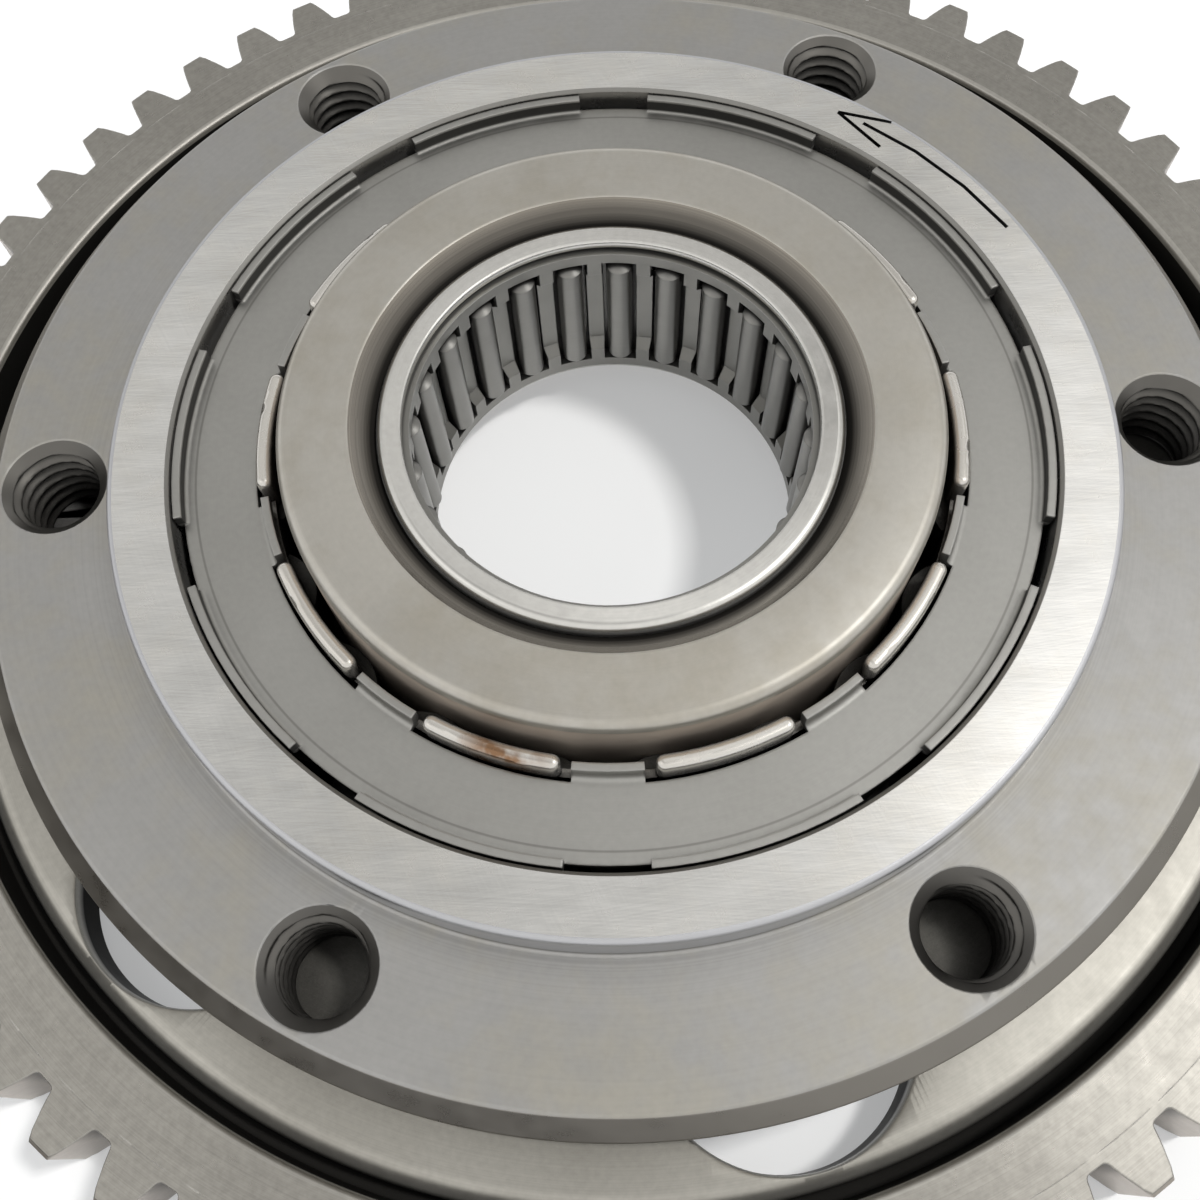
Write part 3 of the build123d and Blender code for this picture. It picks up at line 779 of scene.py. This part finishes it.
def race_finish(radius, height):
    """Which steel a face of the race takes, by the radius and height of its middle in mm."""
    if height > RING_TOP - 0.001 and RACE_BORE + MOUTH_WIDTH < radius < RING_RADIUS - 0.4:
        return ring_steel
    if height > FLANGE_TOP + 0.4 and radius > RING_RADIUS - RING_ROUNDING:
        return ring_edge_steel
    if height > RING_TOP - 0.4 and RACE_BORE < radius < RACE_BORE + 0.5:
        return race_mouth_steel
    if radius < RACE_BORE + 0.2:
        return race_bore_steel
    if height > RING_TOP - 0.5:
        return engraved_steel
    over_holes = RING_RADIUS < radius < FLANGE_RADIUS - BEVEL_ZONE
    if over_holes and RACE_BOTTOM + 0.1 < height < FLANGE_TOP - 0.05:
        return thread_shade_steel
    if height < FLANGE_TOP - 0.1 and radius > FLANGE_RADIUS - BEVEL_ZONE:
        return bevel_steel
    return flange_steel


paint(race_body, [flange_steel, ring_steel, ring_edge_steel, race_bore_steel, thread_shade_steel, engraved_steel,
                  bevel_steel, race_mouth_steel], race_finish)
stand_in(race_body, "outer_race", "housing")
print("race faces:", len(race_body.data.polygons))

# %% [markdown]
# The gear has 64 involute teeth. Its outline is worked out from the gear's own
# numbers: the involute gives each flank, and small arcs round the tips and the
# roots. Every point of the outline is carried inward as a spoke of points over
# the rim, the groove, the web and the hub, so that the whole gear is one mesh
# with clean rounded edges. Then the six web holes are drilled.

# %% Gear: measures in mm
gear_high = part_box("driven_gear")[1]
HUB_TOP = gear_high.z / MM
TOOTH_COUNT = 64
MODULE = 25.4 / 12
PITCH_RADIUS = MODULE * TOOTH_COUNT / 2
TIP_RADIUS = PITCH_RADIUS + MODULE
TOOTH_DEPTH = 3.75
ROOT_RADIUS = TIP_RADIUS - TOOTH_DEPTH
TOOTH_THICKNESS = 3.72
TOOTH_PHASE = 5.28
PRESSURE_ANGLE = radians(20)
FACE_WIDTH = 8.0
WEB_TOP = 6.6
GROOVE_RADIUS = 60.7
GROOVE_WIDTH = 1.1
GROOVE_FLOOR = 3.4
GROOVE_ROUNDING = 0.6
BACK_RECESS = 1.6
BACK_RECESS_FROM = 30.0
BACK_RECESS_TO = 58.2
RECESS_SLOPE = 0.8
INNER_RACE_RADIUS = 27.0
CUP_RADIUS = 19.05
HUB_MOUTH = 2.1
RIM_INSIDE = ROOT_RADIUS - 0.8
gear_corners = [
    (GROOVE_RADIUS, FACE_WIDTH, GROOVE_ROUNDING),
    (GROOVE_RADIUS, GROOVE_FLOOR, 0.4),
    (GROOVE_RADIUS - GROOVE_WIDTH, GROOVE_FLOOR, 0.4),
    (GROOVE_RADIUS - GROOVE_WIDTH, WEB_TOP, 1.9),
    (INNER_RACE_RADIUS, WEB_TOP, 0.7),
    (INNER_RACE_RADIUS, HUB_TOP, 1.0),
    (CUP_RADIUS + HUB_MOUTH, HUB_TOP, 0.25),
    (CUP_RADIUS, HUB_TOP - HUB_MOUTH, 0.1),
    (CUP_RADIUS, 0, 0.8),
    (BACK_RECESS_FROM - RECESS_SLOPE, 0, 0.2),
    (BACK_RECESS_FROM, BACK_RECESS, 0.3),
    (BACK_RECESS_TO, BACK_RECESS, 0.3),
    (BACK_RECESS_TO + RECESS_SLOPE, 0, 0.2),
    (RIM_INSIDE, 0, 0),
    (RIM_INSIDE, FACE_WIDTH, 0),
]
print("gear outside diameter:", round(2 * TIP_RADIUS, 2))

# %% Gear: the outline of its teeth
ROOT_FILLET = 0.45
TIP_ROUNDING = 0.12
FLANK_LEVELS = [
    (ROOT_RADIUS, ROOT_FILLET), (67.0, 0), (PITCH_RADIUS, 0), (69.0, 0), (TIP_RADIUS, TIP_ROUNDING)]


def involute(roll):
    """How far, in radians, an involute has turned where its pressure angle is roll."""
    return tan(roll) - roll


def flank_turn(radius):
    """Half of a tooth's width at a radius, as an angle."""
    base_radius = PITCH_RADIUS * cos(PRESSURE_ANGLE)
    at_pitch = TOOTH_THICKNESS / 2 / PITCH_RADIUS + involute(PRESSURE_ANGLE)
    return at_pitch - involute(acos(base_radius / radius))


def toothed_outline():
    """Closed outline of all the teeth, as points in mm."""
    corners = []
    pitch = 2 * pi / TOOTH_COUNT
    for tooth in range(TOOTH_COUNT):
        middle = radians(TOOTH_PHASE) + tooth * pitch
        spots = [(ROOT_RADIUS, middle - pitch / 2, 0)]
        spots += [(r, middle - flank_turn(r), rounding) for r, rounding in FLANK_LEVELS]
        spots += [(TIP_RADIUS, middle, 0)]
        spots += [(r, middle + flank_turn(r), rounding) for r, rounding in reversed(FLANK_LEVELS)]
        corners += [(r * cos(angle), r * sin(angle), rounding) for r, angle, rounding in spots]
    return rounded_outline(corners, arc_steps=3)


teeth = toothed_outline()
print("points round the teeth:", len(teeth))


# %% Gear: rings from the teeth inward
def moved_inward(outline, amount):
    """An outline moved a little towards its inside."""
    moved = []
    for index, point in enumerate(outline):
        along = (outline[(index + 1) % len(outline)] - outline[index - 1]).normalized()
        moved.append(point - Vector((along.y, -along.x)) * amount)
    return moved


def tooth_ring(height, inset, most_radius):
    """A ring that follows the teeth at a height, inset by an amount and cut off at a radius."""
    ring = []
    for point in moved_inward(teeth, inset) if inset else teeth:
        kept = point * min(1.0, most_radius / point.length)
        ring.append((kept.x, kept.y, height))
    return ring


TIP_EDGE = 0.35
FLANK_EDGE = 0.09
tooth_rings = [
    tooth_ring(0, FLANK_EDGE, TIP_RADIUS - TIP_EDGE),
    tooth_ring(FLANK_EDGE, 0, TIP_RADIUS - TIP_EDGE + FLANK_EDGE),
    tooth_ring(TIP_EDGE, 0, TIP_RADIUS),
    tooth_ring(FACE_WIDTH - TIP_EDGE, 0, TIP_RADIUS),
    tooth_ring(FACE_WIDTH - FLANK_EDGE, 0, TIP_RADIUS - TIP_EDGE + FLANK_EDGE),
    tooth_ring(FACE_WIDTH, FLANK_EDGE, TIP_RADIUS - TIP_EDGE),
]
first_spoke = radians(TOOTH_PHASE) - pi / TOOTH_COUNT
spoke_angles = [first_spoke + 2 * pi * number / len(teeth) for number in range(len(teeth))]
spokes = [Vector((cos(angle), sin(angle))) for angle in spoke_angles]
inner_rings = [
    [(spoke.x * p.x, spoke.y * p.x, p.y) for spoke in spokes] for p in rounded_outline(gear_corners)]
print("rings of the gear:", len(inner_rings) + len(tooth_rings))

# %% [markdown]
# Each web hole is drilled by a round tool that widens at the top, which leaves
# the small bevel that catches the light. The gear's faces then take their steels
# by where they lie, as those of the race do.

# %% Gear: drill the web holes and paint it
WEB_HOLE_COUNT = 6
WEB_HOLE_RADIUS = 10.65
WEB_HOLE_CIRCLE = 47.6
WEB_HOLE_PHASE = -76
WEB_HOLE_WIDENING = [(-1, 0), (WEB_TOP - 0.35, 0), (WEB_TOP - 0.1, 0.12), (WEB_TOP + 0.05, 0.45), (9, 0.6)]


def web_hole(turn_degrees, segments=120):
    """Closed cutter for one web hole with a small bevel at its top."""
    turn = radians(turn_degrees)
    x = WEB_HOLE_CIRCLE * cos(turn)
    y = WEB_HOLE_CIRCLE * sin(turn)
    angles = [2 * pi * step / segments for step in range(segments)]
    rings = []
    for height, wider in WEB_HOLE_WIDENING:
        reach = WEB_HOLE_RADIUS + wider
        rings.append([(x + reach * cos(a), y + reach * sin(a), height) for a in angles])
    return ring_mesh("web_hole", rings, closed=False)


gear_body = add_piece("gear_body", ring_mesh("gear_body", inner_rings + tooth_rings))
web_hole_angles = [WEB_HOLE_PHASE + 360 / WEB_HOLE_COUNT * number for number in range(WEB_HOLE_COUNT)]
cut_away(gear_body, [web_hole(angle) for angle in web_hole_angles])


def gear_finish(radius, height):
    """Which steel a face of the gear takes, by the radius and height of its middle in mm."""
    if radius < CUP_RADIUS + 2.0 and height > HUB_TOP - 2.2:
        return slope_steel
    if radius < INNER_RACE_RADIUS + 0.05:
        return hub_wall_steel if height < HUB_TOP - 0.9 else hub_steel
    if radius > ROOT_RADIUS - 0.3 and 0.05 < height < FACE_WIDTH - 0.05:
        return flank_steel
    if GROOVE_RADIUS < radius < GROOVE_RADIUS + 0.62 and height > FACE_WIDTH - GROOVE_ROUNDING:
        return rim_edge_highlight_steel
    if abs(radius - GROOVE_RADIUS) < 0.1 and height > GROOVE_FLOOR + 0.6:
        return groove_shade_steel
    return web_steel if radius < GROOVE_RADIUS and height > 0.05 else gear_steel


paint(gear_body, [gear_steel, web_steel, hub_steel, hub_wall_steel, groove_shade_steel, rim_edge_highlight_steel, flank_steel,
                  slope_steel], gear_finish)
stand_in(gear_body, "driven_gear", "gear")
print("gear faces:", len(gear_body.data.polygons))

# %% [markdown]
# The cup of the needle bearing is drawn from thin sheet, so all its corners are
# round: a wide one outside and a tight one at the lip, where the sheet ends.

# %% Bearing cup
cup_low, cup_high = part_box("bearing_cup")
CUP_BOTTOM = cup_low.z / MM
CUP_TOP = cup_high.z / MM
CUP_WALL = 0.8
CUP_LIP = 16.95
CUP_SHOULDER = 0.8
LIP_OUTSIDE = 0.22
LIP_INSIDE = 0.12
cup_corners = [
    (CUP_LIP, CUP_BOTTOM, LIP_OUTSIDE),
    (CUP_RADIUS, CUP_BOTTOM, CUP_SHOULDER),
    (CUP_RADIUS, CUP_TOP, CUP_SHOULDER),
    (CUP_LIP, CUP_TOP, LIP_OUTSIDE),
    (CUP_LIP, CUP_TOP - CUP_WALL, LIP_INSIDE),
    (CUP_RADIUS - CUP_WALL, CUP_TOP - CUP_WALL, 0.1),
    (CUP_RADIUS - CUP_WALL, CUP_BOTTOM + CUP_WALL, 0.1),
    (CUP_LIP, CUP_BOTTOM + CUP_WALL, LIP_INSIDE),
]
cup_rings = turned_rings(rounded_outline(cup_corners, 6), 240)
cup_body = add_piece("cup_body", ring_mesh("cup_body", cup_rings))
paint(cup_body, [cup_steel], lambda radius, height: cup_steel)
stand_in(cup_body, "bearing_cup", "gear")
print("cup from", round(CUP_BOTTOM, 2), "to", round(CUP_TOP, 2), "mm")

# %% [markdown]
# The cages, the needles, the sprags and the spring keep the shapes of the packed
# model, because their bends and cams are all there. They only take a material.

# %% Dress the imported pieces
FINISHES = {
    "driven_gear": gear_steel, "outer_race": flange_steel, "bearing_cup": cup_steel,
    "outer_cage": plate_steel, "inner_cage": lug_steel, "needle_cage": needle_cage_steel,
    "ribbon_spring": spring_steel,
}


def dress(name, material):
    """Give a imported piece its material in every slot."""
    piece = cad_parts[name]
    if not piece.material_slots:
        piece.data.materials.append(material)
    for place in piece.material_slots:
        place.material = material


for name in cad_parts:
    rolling = needle_steel if name.startswith("needle_") else sprag_steel
    dress(name, FINISHES.get(name, rolling))
print("dressed:", len(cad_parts))

# %% [markdown]
# The part lies on a white table. The table glows a little to the camera, in
# reflections and through clear matter, so that it comes out as white as in the
# photograph and still carries the part's shadow.

# %% Tools for the studio
def seen_by_eye(tree):
    """1 for rays from the camera, from a reflection or through clear matter, else 0."""
    path = node(tree, "ShaderNodeLightPath").outputs
    bounced = math(tree, "MAXIMUM", path["Is Glossy Ray"], path["Is Transmission Ray"])
    return math(tree, "MAXIMUM", path["Is Camera Ray"], bounced)


def staged_sheet(name, points, faces, height, material):
    """A flat sheet that belongs to the studio and not to the part."""
    mesh = bpy.data.meshes.new(name)
    mesh.from_pydata(points, [], faces)
    made = bpy.data.objects.new(name, mesh)
    made.location.z = height
    bpy.context.collection.objects.link(made)
    mesh.materials.append(material)
    return made


def square(half):
    """Corners of a level square round the axis."""
    return [(-half, -half, 0), (half, -half, 0), (half, half, 0), (-half, half, 0)]


def show_in_reflections_only(sheet):
    """Hide a sheet from the camera and from plain light."""
    sheet.visible_camera = False
    sheet.visible_diffuse = False
    sheet.visible_shadow = False


print("studio tools ready")

# %% Table
FLOOR_HALF = 1.5
FLOOR_GLOW_SHARE = 0.345

white_table, tree = bare_material("white_table")
matte = node(tree, "ShaderNodeBsdfDiffuse", {"Color": (0.93, 0.935, 0.94, 1)})
shine = node(tree, "ShaderNodeEmission", {"Color": (0.97, 0.98, 0.985, 1), "Strength": 1.0})
share = math(tree, "MULTIPLY", seen_by_eye(tree), FLOOR_GLOW_SHARE)
mixed = node(tree, "ShaderNodeMixShader", {0: share, 1: matte.outputs[0], 2: shine.outputs[0]})
node(tree, "ShaderNodeOutputMaterial", {"Surface": mixed.outputs[0]})
table_top = staged_sheet("table_top", square(FLOOR_HALF), [(0, 1, 2, 3)], cad_low.z - 0.0001, white_table)
print("table top at z =", round(table_top.location.z, 5))

# %% [markdown]
# Two lamps light the table and the part: a small warm one high on the right,
# whose shadow edge falls inside the bearing, and a large pale one on the left.
# The steel doesn't mirror them, because the ceiling card of the next step does
# that work.

# %% Lamps
def soft_lamp(name, place, size, power, color):
    """A square area lamp that looks at the middle of the part."""
    data = bpy.data.lights.new(name, "AREA")
    data.shape = "RECTANGLE"
    data.size = size
    data.size_y = size
    data.energy = power
    data.color = color
    made = bpy.data.objects.new(name, data)
    made.location = place
    made.rotation_euler = (-Vector(place)).to_track_quat("-Z", "Y").to_euler()
    made.visible_glossy = False
    bpy.context.collection.objects.link(made)
    return made


soft_lamp("ceiling_lamp", (0.34, 0.04, 0.72), 0.1, 4.0, (1.0, 0.985, 0.96))
soft_lamp("window_lamp", (-0.55, 0.35, 0.45), 0.4, 1.6, (0.96, 0.98, 1.0))

# %% [markdown]
# Steel shows what stands round it. The photograph was taken under a ceiling that
# is bright at both sides, dim beyond the part, and covered in the middle by the
# phone and the hands that hold it. A glowing card above, which only reflections
# see, stands for all that. Each spot has a middle, a reach and a level, and a
# negative level is shade.

# %% Ceiling card
CEILING_HEIGHT = 0.6
CEILING_HALF = 1.3
LEVEL_NEAR = 0.95
LEVEL_FAR = 0.57
CEILING_SPOTS = [
    ((0.4, -0.01), 0.3, 2.6), ((0.31, -0.03), 0.14, 1.0), ((0.285, 0.34), 0.11, 0.85),
    ((0.21, 0.15), 0.14, 0.5), ((0.26, 0.19), 0.11, -0.34), ((0.16, 0.37), 0.12, -0.55),
    ((0.0, 0.2), 0.11, 0.4), ((0.0, 0.64), 0.14, 0.12), ((-0.24, 0.36), 0.12, 0.13),
    ((-0.45, -0.1), 0.3, 0.35), ((-0.2, 0.12), 0.24, -0.43), ((0.0, -0.02), 0.22, -0.42),
]

ceiling_glow, tree = bare_material("ceiling_glow")
coords = node(tree, "ShaderNodeTexCoord").outputs["Object"]
beyond = node(tree, "ShaderNodeSeparateXYZ", {"Vector": coords}).outputs[1]
level = remap(tree, beyond, 0.0, 0.6, LEVEL_NEAR, LEVEL_FAR)
for middle, reach, strength in CEILING_SPOTS:
    off = vector_math(tree, "DISTANCE", coords, (*middle, 0))["Value"]
    spot = remap(tree, off, 0.0, reach, strength, 0.0, interpolation_type="SMOOTHSTEP")
    level = math(tree, "ADD", level, spot)
light = node(tree, "ShaderNodeEmission", {"Color": (1.0, 0.99, 0.97, 1), "Strength": level})
node(tree, "ShaderNodeOutputMaterial", {"Surface": light.outputs[0]})
ceiling_card = staged_sheet(
    "ceiling_card", square(CEILING_HALF), [(3, 2, 1, 0)], CEILING_HEIGHT, ceiling_glow)
show_in_reflections_only(ceiling_card)
print("ceiling card at z =", ceiling_card.location.z)

# %% [markdown]
# The side edges of the part mirror the table close by, which lies in shade at
# the lower left, where the camera and the hands stand in the way of the light.
# A flat ring just over the table, which again only reflections see, carries
# that shade, so the table itself stays plain and pale.

# %% Table card
CARD_INNER = 0.08
CARD_OUTER = 0.6
CARD_STEPS = 48
SHADE_TOWARD = (-0.78, -0.62, 0)
SHADE_FROM = 0.2
SHADE_TO = 0.75

points = []
faces = []
for step in range(CARD_STEPS):
    angle = 2 * pi * step / CARD_STEPS
    for reach in (CARD_INNER, CARD_OUTER):
        points.append((reach * cos(angle), reach * sin(angle), 0))
    following = (step + 1) % CARD_STEPS
    faces.append((2 * step, 2 * step + 1, 2 * following + 1, 2 * following))

table_shade, tree = bare_material("table_shade")
coords = node(tree, "ShaderNodeTexCoord").outputs["Object"]
aim = vector_math(tree, "NORMALIZE", coords)[0]
toward = vector_math(tree, "DOT_PRODUCT", aim, SHADE_TOWARD)["Value"]
shade = remap(tree, toward, SHADE_FROM, SHADE_TO, 0.0, 1.0)
tone = blend_colors(tree, shade, (0.62, 0.61, 0.59, 1), (0.05, 0.043, 0.035, 1))
light = node(tree, "ShaderNodeEmission", {"Color": tone, "Strength": 1.0})
node(tree, "ShaderNodeOutputMaterial", {"Surface": light.outputs[0]})
table_card = staged_sheet("table_card", points, faces, cad_low.z - 0.00005, table_shade)
show_in_reflections_only(table_card)
table_card.visible_transmission = False
print("table card from", CARD_INNER, "to", CARD_OUTER, "m")

# %% [markdown]
# The world is plain white to the camera and in reflections, as the background of
# the photograph is, and it sheds a softer white light on the part. The view
# transform is Standard, so white stays white.

# %% World
WORLD_LIGHT = 0.55

world = bpy.data.worlds.new("studio")
bpy.context.scene.world = world
world.use_nodes = True
world_tree = world.node_tree
world_tree.nodes.clear()
strength = remap(world_tree, seen_by_eye(world_tree), 0.0, 1.0, WORLD_LIGHT, 1.0)
sky = node(world_tree, "ShaderNodeBackground", {"Color": (1, 1, 1, 1), "Strength": strength})
node(world_tree, "ShaderNodeOutputWorld", {"Surface": sky.outputs[0]})
bpy.context.scene.view_settings.view_transform = "Standard"
print("world:", world.name)
